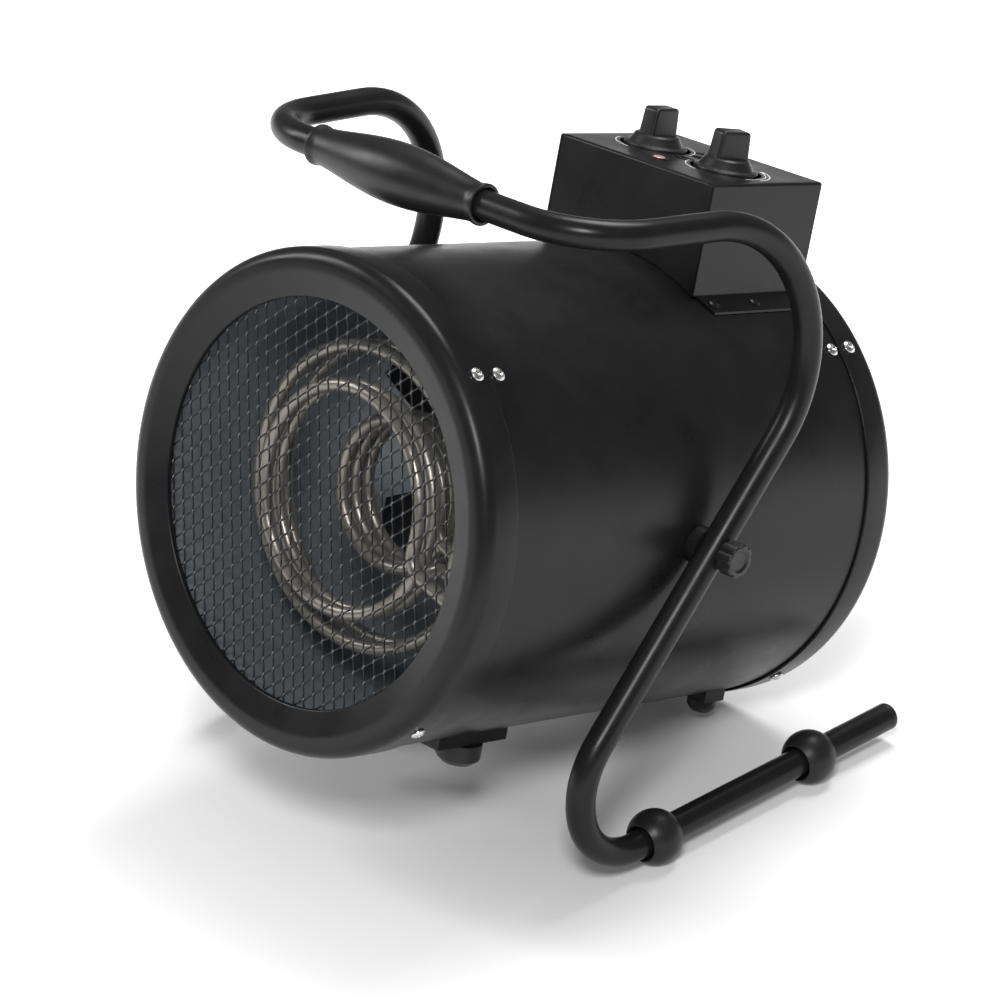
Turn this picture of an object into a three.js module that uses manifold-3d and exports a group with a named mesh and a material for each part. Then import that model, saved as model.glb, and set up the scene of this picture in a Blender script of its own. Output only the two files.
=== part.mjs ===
// Forced air heater: a steel drum with a fan and three heating elements, carried by
// one bent tube that is its stand and its handle. Millimetres, +Z up, floor at z = 0,
// +X towards the near side, -Y towards the air outlet.
import * as THREE from 'three';
import { mergeGeometries, mergeVertices } from 'three/addons/utils/BufferGeometryUtils.js';
import Module from 'manifold-3d';

const wasm = await Module();
wasm.setup();

// Driving dimensions: fits and pose
const fitGap = 0.3;              // clearance between pieces that touch
const noseUp = 13.5;             // degrees the drum points up at rest
const floorGap = 0.8;            // rear rim above the floor at rest

// Driving dimensions: drum
const drumRadius = 150;
const casingSheet = 1.2;
const casingHalf = 161;          // middle of the drum to each seam
const rimSheet = 1.5;
const rimDepth = 27;             // each rim beyond its seam
const rimEdge = 9;               // rounding of a rim's outer edge
const rimWidth = 27.7;           // a rim's face, from the drum's side in to the opening
const rimDish = 4.6;             // how far a rim's face falls in towards the opening
const rimLip = 3;                // edge turned in round the opening
const linerGap = 18.8;           // between the casing and the liner
const linerSheet = 0.8;
const linerFlange = 3;           // liner's flange, in front of the seam
const linerLength = 205;         // liner behind its flange
const linerGuardGap = 0.6;       // between the liner's front edge and the mesh
const cutoutShare = 0.48;        // thermal cutout's height as a share of the liner's gap
const drumSides = 40;
const casingTuck = 6;            // casing that runs on under each rim

// Driving dimensions: grille and guard
const meshThickness = 1.2;
const meshBand = 10;             // solid rim of the mesh, clamped behind the lip
const meshPitch = 19.5;          // across the strands
const meshStrand = 1.6;
const meshLean = [-15, 50];      // strand directions, degrees from upright
const guardSheet = 1.5;
const guardSlots = [[34, 56, 6], [66, 86, 8], [96, 114, 8]];   // inner, outer radius, count
const guardWeb = 7;              // metal left between two slots

// Driving dimensions: rim fasteners
// Degrees from the top of the drum. The upper two strips of a rim also have a screw in the
// casing, and the lower two are spot welded to it.
const frontScrewAngles = [43.5, 134, 226, 316.5];
const rearScrewAngles = [43.5, 138, 222, 316.5];
const frontScrewInset = 9;       // from the seam to the screw in the casing
const frontScrewOutset = 10;     // from the seam to the screw in the rim
const rearScrewInset = 6.5;
const rearScrewOutset = 8.6;
const screwRadius = 2.3;
const screwHeadRadius = 4.4;
const screwHeadHeight = 2.4;
const stripWidth = 14;
const stripSheet = 1.5;
const stripMargin = 5;           // joining strip beyond its screws

// Driving dimensions: stand and handle
const tubeRadius = 9;
const tubeWall = 1.5;
const tubeSides = 10;
const pivotRise = 9;             // pivot above the drum's axis
const saddleRadius = 12;
const saddleThickness = 3.3;
const saddleWrap = 4.5;          // how far the saddle reaches round the tube
const barHeight = 16.8;          // middle of the floor bars above the floor
const barFront = 174;
const barRear = 180;
const floorBend = 50.5;
const legLean = 3.2;             // legs stand in at the floor and out at the elbow
const elbowOver = 28;            // elbow corner above the top of the drum's side
const elbowBend = 86;
const handleReach = 90.4;
const handleOver = 65.3;
const handleInset = 22.1;
const handleBend = 53.7;
const bendStep = 18;             // degrees between two sections of a bend
const gripHalf = 70.5;
const gripShift = -11;           // grip's middle from the handle's
const gripRadius = 18.7;
const gripNeck = 11.7;
const gripFlare = 1;             // how far each end flares beyond the neck
const gripLip = 6;               // length of each flared end
const capLength = 5;
const capPlug = 12;
const ballFlat = 0.7;            // worn flat under each foot ball
const ballHalf = 13.5;
const ballStations = [-38, 106];

// Driving dimensions: clamps
const studRadius = 4;
const clampHub = 1.4;            // knob's hub beyond the tube
const clampKnobRadius = 10.5;
const clampKnobLength = 11.5;
const clampFlutes = 8;
const nutAcross = 13;
const nutShare = 0.37;           // nut's length as a share of the liner's gap

// Driving dimensions: feet under the drum. A pad on the casing carries each rubber foot.
const footAngle = 24;            // degrees from straight under the axis to the feet
const padDepth = 3;              // pads' underside below the casing at a foot's middle
const padWidth = 20;
const frontPadInset = 83;        // foot's middle from the front seam
const frontPadHalf = 30;
const frontFootRadius = 14;
const frontFootRise = 14.2;      // rubber below its pad
const rearPadInset = 10.8;       // foot's middle from the rear seam
const rearPadHalf = 9.6;
const rearFootRadius = 9.6;
const rearFootRise = 9;
const footTaper = 0.66;          // tip's radius as a share of the foot's
const footChamfer = 4;

// Driving dimensions: heating elements. A coil's inset is from the liner to the middle of
// its tube, and its place is from the front seam to its first turn.
const elementRadius = 4.25;
const elementBend = 11;
const elementAngle = -16;        // degrees above the near side where the ends leave
const elementSteps = 24;
const elementSides = 6;
const plateInset = 20;           // terminal plate from the liner
const plateSheet = 2;
const plateHalf = 13;
const plateMargin = 8;
const elementTail = 9;           // tube beyond the terminal plate
const outerCoilInset = 38;
const outerCoilPlace = 15;
const outerCoilLength = 42;
const outerCoilTurns = 2;
const middleCoilInset = 61;
const middleCoilPlace = 3;
const middleCoilLength = 22.5;
const middleCoilTurns = 2;
const innerCoilInset = 84;
const innerCoilPlace = 46.5;
const innerCoilLength = 32.5;
const innerCoilTurns = 3;

// Driving dimensions: fan
const fanGap = 17.2;             // between the blades' tips and the liner
const fanPlace = -22;
const fanHubRadius = 26;
const fanHubLength = 22;
const fanBlades = 5;
const bladeWidth = 58;
const bladePitch = 32;
const bladeSheet = 1.6;
const shaftRadius = 4;
const motorRadius = 42;
const motorFront = 12;
const motorLength = 66;
const motorBoss = 15;
const mountSheet = 2;
const mountArm = 18;
const mountArms = 3;
const mountTab = 22;

// Driving dimensions: control box
const boxHalf = 65.5;
const boxLength = 105;
const boxRearInset = 1;          // box's rear face before the rear seam
const boxRise = 57.5;            // box top above the drum
const boxSheet = 1.2;
const flangeWidth = 13;
const flangeFront = 3;
const knobX = 30;
const knobPlace = 51;            // from the box's front to the knobs
const knobHoleRadius = 23;
const skirtRadius = 20.5;
const skirtHeight = 8;
const skirtSink = 1.5;           // skirt below the box's top
const knobHeight = 26.5;
const knobBarLength = 26;
const knobBarWidth = 13;
const plateDrop = 11;            // switch plate below the box's top
const switchDepth = 30;
const spindleRadius = 3;
const lampRadius = 5;
const lampPlace = 21;            // from the box's front to the lamp
const glandRadius = 10;
const glandBore = 6;
const glandX = 30;
const glandDrop = 24;
const wireHoleRadius = 12;

const radians = THREE.MathUtils.degToRad;
const vector = (x, y, z) => new THREE.Vector3(x, y, z);

// Solids: joining, cutting and the few basic forms that the pieces are made from
function solid(geometry) {
  const bare = geometry.clone();
  bare.deleteAttribute('normal');
  bare.deleteAttribute('uv');
  const merged = mergeVertices(bare, 1e-4);
  const corners = merged.index.array;
  const kept = [];
  for (let i = 0; i < corners.length; i += 3) {
    const [a, b, c] = corners.slice(i, i + 3);
    const whole = a !== b && b !== c && c !== a;
    if (whole) kept.push(a, b, c);
  }
  const vertProperties = new Float32Array(merged.attributes.position.array);
  const triVerts = new Uint32Array(kept);
  return new wasm.Manifold(new wasm.Mesh({ numProp: 3, vertProperties, triVerts }));
}

function surface(manifold) {
  const mesh = manifold.getMesh();
  const geometry = new THREE.BufferGeometry();
  geometry.setAttribute('position', new THREE.BufferAttribute(new Float32Array(mesh.vertProperties), 3));
  geometry.setIndex(new THREE.BufferAttribute(new Uint32Array(mesh.triVerts), 1));
  geometry.computeVertexNormals();
  return geometry;
}

const join = (...pieces) => surface(pieces.map(solid).reduce((whole, piece) => whole.add(piece)));
const cut = (piece, ...tools) =>
  surface(tools.map(solid).reduce((left, tool) => left.subtract(tool), solid(piece)));
const common = (piece, tool) => surface(solid(piece).intersect(solid(tool)));

// A ring or disc turned about +Y from a closed outline of [radius, height] points,
// which runs anticlockwise.
function turned(outline, sides) {
  const points = outline.map(([radius, height]) => new THREE.Vector2(radius, height));
  points.push(points[0].clone());
  return new THREE.LatheGeometry(points, sides);
}

const drumTube = (inner, outer, from, to) =>
  turned([[inner, from], [outer, from], [outer, to], [inner, to]], drumSides);

function block(low, high) {
  const size = high.map((value, k) => value - low[k]);
  const middle = high.map((value, k) => (value + low[k]) / 2);
  return new THREE.BoxGeometry(...size).translate(...middle);
}

// A round bar along one axis, between two heights on it
function bar(radius, from, to, axis, sides = 16) {
  const rod = new THREE.CylinderGeometry(radius, radius, to - from, sides).translate(0, (from + to) / 2, 0);
  if (axis === 'x') rod.rotateZ(-Math.PI / 2);
  if (axis === 'z') rod.rotateX(Math.PI / 2);
  return rod;
}

// The tool that cuts a clearance hole for a round bar: its flats clear the bar all round
const hole = (radius, from, to, axis, sides = 12) =>
  bar((radius + fitGap) / Math.cos(Math.PI / sides), from, to, axis, sides);

// Straight runs joined by circular bends
function bentPath(corners, bends) {
  const points = [corners[0]];
  bends.forEach((bend, k) => {
    const corner = corners[k + 1];
    const before = corners[k].clone().sub(corner).normalize();
    const after = corners[k + 2].clone().sub(corner).normalize();
    const half = before.angleTo(after) / 2;
    const middle = before.clone().add(after).normalize().multiplyScalar(bend / Math.sin(half)).add(corner);
    const first = before.multiplyScalar(bend / Math.tan(half)).add(corner).sub(middle);
    const last = after.multiplyScalar(bend / Math.tan(half)).add(corner).sub(middle);
    const turn = Math.PI - 2 * half;
    const steps = Math.ceil(turn / radians(bendStep));
    for (let i = 0; i <= steps; i++) {
      const angle = turn * i / steps;
      const spoke = first.clone().multiplyScalar(Math.sin(turn - angle) / Math.sin(turn));
      points.push(spoke.addScaledVector(last, Math.sin(angle) / Math.sin(turn)).add(middle));
    }
  });
  points.push(corners[corners.length - 1]);
  return points;
}

// A round tube along a list of points, with its section carried along without twist
function tube(path, radius, sides, bore = 0) {
  const rings = bore > 0 ? [radius, bore] : [radius];
  const position = [];
  let side = null;
  path.forEach((point, i) => {
    const before = path[Math.max(i - 1, 0)];
    const after = path[Math.min(i + 1, path.length - 1)];
    const along = after.clone().sub(before).normalize();
    if (side === null) side = Math.abs(along.z) < 0.9 ? vector(0, 0, 1) : vector(1, 0, 0);
    side.addScaledVector(along, -side.dot(along)).normalize();
    const other = along.clone().cross(side);
    for (const reach of rings) {
      for (let j = 0; j < sides; j++) {
        const angle = 2 * Math.PI * j / sides;
        const place = point.clone().addScaledVector(side, reach * Math.cos(angle));
        place.addScaledVector(other, reach * Math.sin(angle));
        position.push(place.x, place.y, place.z);
      }
    }
  });
  const index = [];
  const stride = rings.length * sides;
  const last = (path.length - 1) * stride;
  for (let j = 0; j < sides; j++) {
    const next = (j + 1) % sides;
    for (let i = 0; i < last; i += stride) {
      index.push(i + j, i + next, i + stride + j, i + next, i + stride + next, i + stride + j);
      if (bore > 0) {
        const k = i + sides;
        index.push(k + j, k + stride + j, k + next, k + next, k + stride + j, k + stride + next);
      }
    }
    if (bore > 0) {
      index.push(j, sides + j, next, next, sides + j, sides + next);
      index.push(last + j, last + next, last + sides + j, last + next, last + sides + next, last + sides + j);
    } else if (j > 0 && j < sides - 1) {
      index.push(0, next, j, last, last + j, last + next);
    }
  }
  const geometry = new THREE.BufferGeometry();
  geometry.setAttribute('position', new THREE.Float32BufferAttribute(position, 3));
  geometry.setIndex(index);
  return geometry;
}

// Finishes
const finish = (color, roughness, metalness) =>
  new THREE.MeshStandardMaterial({ color, roughness, metalness });
const finishes = {
  blackSteel: finish(0x161617, 0.42, 0.2),
  blackPlastic: finish(0x121213, 0.5, 0),
  rubber: finish(0x101011, 0.75, 0),
  zinc: finish(0xc9c9c6, 0.3, 1),
  galvanised: finish(0x7b858c, 0.4, 1),
  elementSteel: finish(0x9c9180, 0.38, 1),
  meshSteel: finish(0x2a2b2d, 0.4, 0.6),
  lens: finish(0xd8d4cc, 0.2, 0),
  ceramic: finish(0xd9d5cc, 0.6, 0),
};

function piece(name, geometry, material) {
  const mesh = new THREE.Mesh(surface(solid(geometry)), finishes[material]);
  mesh.name = name;
  return mesh;
}

// Places that follow from the driving dimensions
const pitch = radians(noseUp);
const rimRadius = drumRadius + fitGap + rimSheet;
const rimFace = casingHalf + rimDepth;
const casingEnd = casingHalf + casingTuck;
const casingInner = drumRadius - casingSheet;
const linerRadius = casingInner - linerGap;
const openingRadius = drumRadius - rimWidth;
const fanRadius = linerRadius - linerSheet - fanGap;
const nutLength = nutShare * linerGap;
const axisHeight = floorGap + (rimFace - rimEdge) * Math.sin(pitch)
  + (rimRadius - rimEdge) * Math.cos(pitch) + rimEdge;
const pivotY = pivotRise * Math.sin(pitch);
const pivotZ = axisHeight + pivotRise * Math.cos(pitch);
const legX = drumRadius + saddleThickness + tubeRadius;

const heater = new THREE.Group();

// Stand: one bent tube. It runs from the rear of one floor bar, up through the pivot,
// round the elbow, along the arm and across as the handle, and is the same on both sides.
const footX0 = legX - legLean;
const elbowZ = pivotZ + drumRadius + elbowOver;
const elbowY = pivotY + (elbowZ - pivotZ) * (pivotY + barFront) / (pivotZ - barHeight);
const handleZ = pivotZ + drumRadius + handleOver;
const handleHalf = legX - handleInset;
const halfFrame = [
  vector(footX0, barRear, barHeight),
  vector(footX0, -barFront, barHeight),
  vector(legX + legLean, elbowY, elbowZ),
  vector(handleHalf, -handleReach, handleZ),
];
const mirrored = halfFrame.map((corner) => vector(-corner.x, corner.y, corner.z)).reverse();
const frameBends = [floorBend, elbowBend, handleBend, handleBend, elbowBend, floorBend];
const framePath = bentPath([...halfFrame, ...mirrored], frameBends);
const pivotReach = legX + tubeRadius + fitGap;
const pivotHole = hole(studRadius, -pivotReach, pivotReach, 'x').translate(0, pivotY, pivotZ);
const bentTube = tube(framePath, tubeRadius, tubeSides, tubeRadius - tubeWall);
heater.add(piece('frame_tube', cut(bentTube, pivotHole), 'blackSteel'));

// Hand grip: a moulded spindle on the handle, fat in the middle and flared at its ends
const gripBelly = gripHalf - gripLip;
const gripOutline = [];
const gripStations = 6;
for (let i = 0; i <= gripStations; i++) {
  const share = 2 * i / gripStations - 1;
  const swell = Math.cos(share * Math.PI / 2) ** 1.3;
  gripOutline.push([gripNeck + (gripRadius - gripNeck) * swell, share * gripBelly]);
}
const gripBore = tubeRadius + fitGap;
const gripEnd = gripNeck + gripFlare;
const grip = turned([
  [gripBore, -gripHalf], [gripNeck, -gripHalf], [gripEnd, 2 - gripHalf],
  ...gripOutline,
  [gripEnd, gripHalf - 2], [gripNeck, gripHalf], [gripBore, gripHalf],
], 16).rotateZ(Math.PI / 2);
const gripMesh = piece('hand_grip', grip, 'rubber');
gripMesh.position.set(gripShift, -handleReach, handleZ);
heater.add(gripMesh);

// Foot balls and end caps on the two floor bars. Each ball ends in a small flat on the floor.
function footBall() {
  const radius = barHeight + ballFlat;
  const steps = 6;
  const sweep = Math.asin(ballHalf / radius);
  const outline = [[tubeRadius + fitGap, -ballHalf]];
  for (let i = 0; i <= steps; i++) {
    const angle = sweep * (2 * i / steps - 1);
    outline.push([radius * Math.cos(angle), radius * Math.sin(angle)]);
  }
  outline.push([tubeRadius + fitGap, ballHalf]);
  const floor = block([-radius, -radius, -2 * radius], [radius, radius, -barHeight]);
  return cut(turned(outline, 16), floor);
}

for (const [side, sign] of [['near', 1], ['far', -1]]) {
  ballStations.forEach((station, k) => {
    const ball = piece(`${['front', 'rear'][k]}_foot_ball_${side}`, footBall(), 'rubber');
    ball.position.set(sign * footX0, station, barHeight);
    heater.add(ball);
  });
  const plug = (tubeRadius - tubeWall) * Math.cos(Math.PI / tubeSides) - fitGap;
  const cap = piece(`tube_cap_${side}`, turned([
    [0, -capPlug], [plug, -capPlug], [plug, fitGap], [tubeRadius, fitGap],
    [tubeRadius, capLength - 1.5], [tubeRadius - 1.5, capLength], [0, capLength],
  ], 12), 'blackPlastic');
  cap.position.set(sign * footX0, barRear, barHeight);
  heater.add(cap);
}

// Pivot hardware on each side: a saddle that seats the tube, a clamp stud with its knob,
// and a weld nut inside the casing.
const legDirection = halfFrame[2].clone().sub(halfFrame[1]).normalize();
const legStretch = legDirection.clone().multiplyScalar(3 * saddleRadius);

function saddle() {
  const reach = legX - tubeRadius + saddleWrap;
  const disc = bar(saddleRadius, drumRadius + fitGap, reach, 'x', 20);
  const centre = vector(legX, 0, 0);
  const seat = [centre.clone().sub(legStretch), centre.clone().add(legStretch)];
  return cut(disc, tube(seat, tubeRadius + fitGap, 2 * tubeSides), hole(studRadius, 0, reach + 1, 'x'));
}

function clampKnob() {
  const from = legX + tubeRadius + fitGap;
  const hub = bar(studRadius + 3, from, from + clampHub + 1, 'x');
  const outline = new THREE.Shape();
  const corners = 2 * clampFlutes;
  for (let k = 0; k < corners; k++) {
    const angle = 2 * Math.PI * k / corners;
    const radius = clampKnobRadius - (k % 2) * 1.2;
    outline[k ? 'lineTo' : 'moveTo'](radius * Math.cos(angle), radius * Math.sin(angle));
  }
  const head = new THREE.ExtrudeGeometry(outline, {
    depth: clampKnobLength - 3, bevelThickness: 1.5, bevelSize: 1.5, bevelOffset: -1.5, bevelSegments: 1,
  }).rotateY(Math.PI / 2).translate(from + clampHub + 1.5, 0, 0);
  const bore = hole(studRadius, from - 1, from + clampHub + clampKnobLength / 2, 'x');
  return cut(join(hub, head), bore);
}

const nutOuter = Math.sqrt(casingInner ** 2 - (pivotRise + nutAcross) ** 2) - fitGap;
const studEnd = legX + tubeRadius + clampHub + clampKnobLength / 2 - fitGap;
const clampPieces = {
  pivot_saddle: [saddle(), 'blackSteel'],
  clamp_stud: [bar(studRadius, nutOuter - nutLength, studEnd, 'x'), 'zinc'],
  clamp_knob: [clampKnob(), 'blackPlastic'],
  pivot_nut: [cut(
    bar(nutAcross / Math.sqrt(3), nutOuter - nutLength, nutOuter, 'x', 6),
    hole(studRadius, nutOuter - 2 * nutLength, nutOuter + 1, 'x'),
  ), 'zinc'],
};
for (const [name, [geometry, material]] of Object.entries(clampPieces)) {
  const near = piece(`${name}_near`, geometry, material);
  near.position.set(0, pivotY, pivotZ);
  const mirror = solid(geometry).mirror([1, 0, 0]);
  const far = piece(`${name}_far`, surface(mirror), material);
  far.position.set(0, pivotY, pivotZ);
  heater.add(near, far);
}

// Drum: everything below is built with the drum's axis on Y and its top on Z,
// and then turned nose up.
const drum = new THREE.Group();
drum.position.set(0, 0, axisHeight);
drum.rotation.x = -pitch;
heater.add(drum);

// Rim fasteners: a strip inside the casing with a screw through the rim, and on the upper
// strips one through the casing too
const flatsLoss = 1 - Math.cos(Math.PI / drumSides);
const stripTop = casingInner - fitGap - stripWidth ** 2 / (8 * casingInner) - drumRadius * flatsLoss;

function screw(seat) {
  const head = seat + fitGap;
  return turned([
    [0, stripTop - stripSheet / 2], [screwRadius, stripTop - stripSheet / 2], [screwRadius, head],
    [screwHeadRadius, head], [screwHeadRadius * 0.8, head + screwHeadHeight * 0.75],
    [0, head + screwHeadHeight],
  ], 6).rotateX(Math.PI / 2);
}

const screwHole = (place, angle) =>
  hole(screwRadius, stripTop, rimRadius + 1, 'z', 6).translate(0, place, 0).rotateY(radians(angle));
const casingScrewHoles = [];
const rimScrewHoles = { front: [], rear: [] };
const fastenings = [
  ['front', -1, frontScrewAngles, frontScrewInset, frontScrewOutset],
  ['rear', 1, rearScrewAngles, rearScrewInset, rearScrewOutset],
];
for (const [end, sign, angles, inset, outset] of fastenings) {
  const low = casingHalf - frontScrewInset - stripMargin;
  const high = casingHalf + outset + stripMargin;
  const strip = block([-stripWidth / 2, low, stripTop - stripSheet], [stripWidth / 2, high, stripTop]);
  const rimScrew = screw(rimRadius).translate(0, casingHalf + outset, 0);
  const bodyScrew = screw(drumRadius).translate(0, casingHalf - inset, 0);
  angles.forEach((angle, k) => {
    const upper = Math.cos(radians(angle)) > 0;
    const fastener = upper ? join(strip, rimScrew, bodyScrew) : join(strip, rimScrew);
    if (sign < 0) fastener.rotateZ(Math.PI);
    drum.add(piece(`${end}_rim_screws_${k + 1}`, fastener.rotateY(radians(angle)), 'zinc'));
    rimScrewHoles[end].push(screwHole(sign * (casingHalf + outset), angle));
    if (upper) casingScrewHoles.push(screwHole(sign * (casingHalf - inset), angle));
  });
}

// Casing: one rolled sheet, open at both ends
const boxRear = casingHalf - boxRearInset;
const boxFront = boxRear - boxLength;
const casingHoles = [
  ...casingScrewHoles,
  hole(studRadius, -drumRadius - 1, drumRadius + 1, 'x').translate(0, 0, pivotRise),
  bar(wireHoleRadius, 0, drumRadius + 1, 'z').translate(0, boxFront + 2 * wireHoleRadius, 0),
];
const casing = drumTube(casingInner, drumRadius, -casingEnd, casingEnd);
drum.add(piece('drum_casing', cut(casing, ...casingHoles), 'blackSteel'));

// Rims: two like pressings that slide over the casing's ends
function rim() {
  const edge = rimRadius - rimEdge;
  const arc = (radius, ...angles) => angles.map((angle) =>
    [edge + radius * Math.cos(radians(angle)), rimFace - rimEdge + radius * Math.sin(radians(angle))]);
  const lipPlane = rimFace - rimDish;
  return turned([
    [rimRadius, casingHalf],
    ...arc(rimEdge, 0, 45, 90),
    [openingRadius, lipPlane],
    [openingRadius, lipPlane - rimLip],
    [openingRadius + rimSheet, lipPlane - rimLip],
    [openingRadius + rimSheet, lipPlane - rimSheet],
    ...arc(rimEdge - rimSheet, 90, 0),
    [rimRadius - rimSheet, casingHalf],
  ], drumSides);
}
drum.add(piece('rear_rim', cut(rim(), ...rimScrewHoles.rear), 'blackSteel'));
drum.add(piece('front_rim', cut(rim().rotateZ(Math.PI), ...rimScrewHoles.front), 'blackSteel'));

// Grille: a disc of diamond mesh behind the front rim's lip
const meshBack = -(rimFace - rimDish - rimLip - fitGap) + meshThickness;
const meshFront = meshBack - meshThickness;
const bandInner = openingRadius + rimSheet;

function diamondCells() {
  const [leanA, leanB] = meshLean.map(radians);
  const side = meshPitch / Math.sin(leanB - leanA);
  const along = [Math.sin(leanA), Math.cos(leanA)].map((value) => value * side);
  const across = [Math.sin(leanB), Math.cos(leanB)].map((value) => value * side);
  const shrink = (1 - meshStrand / meshPitch) / 2;
  const reach = Math.ceil(1.5 * bandInner / meshPitch);
  const cells = [];
  for (let i = -reach; i <= reach; i++) {
    for (let j = -reach; j <= reach; j++) {
      const x = along[0] * i + across[0] * j;
      const z = along[1] * i + across[1] * j;
      const corners = [[1, 1], [-1, 1], [-1, -1], [1, -1]].map(([a, b]) => new THREE.Vector2(
        x + shrink * (a * along[0] + b * across[0]), z + shrink * (a * along[1] + b * across[1])));
      const prism = { depth: 3 * meshThickness, bevelEnabled: false };
      const inside = Math.hypot(x, z) < bandInner + meshPitch / 4;
      if (inside) cells.push(new THREE.ExtrudeGeometry(new THREE.Shape(corners), prism));
    }
  }
  return mergeGeometries(cells).rotateX(Math.PI / 2).translate(0, meshBack + meshThickness, 0);
}
const mouth = drumTube(0, bandInner, meshFront - meshThickness, meshBack + meshThickness);
const gaps = common(diamondCells(), mouth);
const meshDisc = drumTube(0, bandInner + meshBand, meshFront, meshBack);
drum.add(piece('front_grille', cut(meshDisc, gaps), 'meshSteel'));

// Rear guard: a slotted plate over the air intake
const guardBack = rimFace - rimDish - rimLip - fitGap;
const arcPoints = (radius, from, to, steps) => Array.from({ length: steps + 1 }, (_, k) => {
  const angle = from + (to - from) * k / steps;
  return new THREE.Vector2(radius * Math.cos(angle), radius * Math.sin(angle));
});
const guardEdge = arcPoints(bandInner + meshBand, 0, 2 * Math.PI, drumSides);
const guardOutline = new THREE.Shape(guardEdge.slice(1));
for (const [inner, outer, count] of guardSlots) {
  for (let k = 0; k < count; k++) {
    const from = 2 * Math.PI * k / count + guardWeb / (inner + outer);
    const to = 2 * Math.PI * (k + 1) / count - guardWeb / (inner + outer);
    const slot = [...arcPoints(outer, from, to, 3), ...arcPoints(inner, to, from, 3)];
    guardOutline.holes.push(new THREE.Path(slot));
  }
}
const guard = new THREE.ExtrudeGeometry(guardOutline, { depth: guardSheet, bevelEnabled: false });
guard.rotateX(-Math.PI / 2).translate(0, guardBack - guardSheet, 0);
drum.add(piece('rear_guard', guard, 'meshSteel'));

// Liner: the bright inner duct, from the mesh back to the fan, held by a flange
const linerFront = meshBack + linerGuardGap;
const flangePlace = -casingHalf - linerFlange;
const linerOutline = [
  [linerRadius - linerSheet, linerFront],
  [linerRadius, linerFront],
  [linerRadius, flangePlace],
  [casingInner - fitGap, flangePlace],
  [casingInner - fitGap, flangePlace + linerSheet],
  [linerRadius, flangePlace + linerSheet],
  [linerRadius, flangePlace + linerLength],
  [linerRadius - linerSheet, flangePlace + linerLength],
];
const stripPockets = frontScrewAngles.map((angle) => block(
  [-stripWidth, flangePlace - 1, stripTop - stripSheet - 1],
  [stripWidth, flangePlace + linerSheet + 1, drumRadius],
).rotateY(radians(angle)));
drum.add(piece('inner_liner', cut(turned(linerOutline, drumSides), ...stripPockets), 'galvanised'));

// Heating elements: each is one sheathed tube, wound as a coil, whose two ends bend
// outwards and pass through the terminal plate.
const platePlace = linerRadius - plateInset;
const coil = (name, inset, place, length, turns) => ({
  name, turns, radius: linerRadius - inset, front: place - casingHalf, rear: place + length - casingHalf,
});
const coils = [
  coil('outer_element', outerCoilInset, outerCoilPlace, outerCoilLength, outerCoilTurns),
  coil('middle_element', middleCoilInset, middleCoilPlace, middleCoilLength, middleCoilTurns),
  coil('inner_element', innerCoilInset, innerCoilPlace, innerCoilLength, innerCoilTurns),
];

function elementPath({ radius, front, rear, turns }) {
  const lean = elementBend / radius;
  const total = 2 * Math.PI * turns - 2 * lean;
  const count = Math.round(turns * elementSteps);
  const spot = (reach, angle, place) => vector(reach * Math.cos(angle), place, reach * Math.sin(angle));
  const bend = (sign, place) => [0, 1, 2].map((i) => {
    const angle = Math.PI / 6 * i;
    return spot(radius + elementBend * (1 - Math.sin(angle)), sign * lean * (1 - Math.cos(angle)), place);
  });
  const tail = (place) => spot(platePlace + plateSheet + elementTail, 0, place);
  const points = [tail(front), ...bend(1, front)];
  for (let i = 0; i <= count; i++) {
    const share = i / count;
    points.push(spot(radius, lean + total * share, front + (rear - front) * share));
  }
  points.push(...bend(-1, rear).reverse(), tail(rear));
  return points;
}

// The least gap that a coil leaves to itself, measured between points on its middle line
function leastGap(points) {
  const far = 3 * elementRadius;
  const lengths = [0];
  for (let i = 1; i < points.length; i++) lengths.push(lengths[i - 1] + points[i].distanceTo(points[i - 1]));
  const fine = new THREE.CatmullRomCurve3(points).getSpacedPoints(400);
  const step = lengths[lengths.length - 1] / 400;
  let least = Infinity;
  for (let i = 0; i < fine.length; i++) {
    for (let j = i + Math.ceil(2 * far / step); j < fine.length; j++) {
      least = Math.min(least, fine[i].distanceTo(fine[j]));
    }
  }
  return least - 2 * elementRadius;
}

for (const wound of coils) {
  const path = elementPath(wound);
  console.log(`${wound.name}: ${wound.turns} turns, least gap to itself ${leastGap(path).toFixed(2)} mm`);
  const geometry = tube(path, elementRadius, elementSides).rotateY(-radians(elementAngle));
  drum.add(piece(wound.name, geometry, 'elementSteel'));
}

// Terminal plate: it carries all six element ends and hooks behind the liner's wall
const ends = coils.flatMap((wound) => [wound.front, wound.rear]);
const plateHoles = ends.map((place) =>
  hole(elementRadius, platePlace - 1, platePlace + plateSheet + 1, 'x', 8).translate(0, place, 0));
const plateLow = Math.min(...ends) - plateMargin;
const plateHigh = Math.max(...ends) + plateMargin;
const terminalReach = Math.sqrt((linerRadius - linerSheet) ** 2 - (plateHalf + 1) ** 2)
  - fitGap - linerRadius * flatsLoss;
const terminalPlate = join(
  block([platePlace, plateLow, -plateHalf], [platePlace + plateSheet, plateHigh, plateHalf]),
  block([platePlace, plateHigh - plateSheet, -plateHalf], [terminalReach, plateHigh, plateHalf]),
  block([platePlace, plateLow, -plateHalf], [terminalReach, plateLow + plateSheet, plateHalf]),
);
const bracket = cut(terminalPlate, ...plateHoles).rotateY(-radians(elementAngle));
drum.add(piece('element_bracket', bracket, 'galvanised'));

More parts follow.
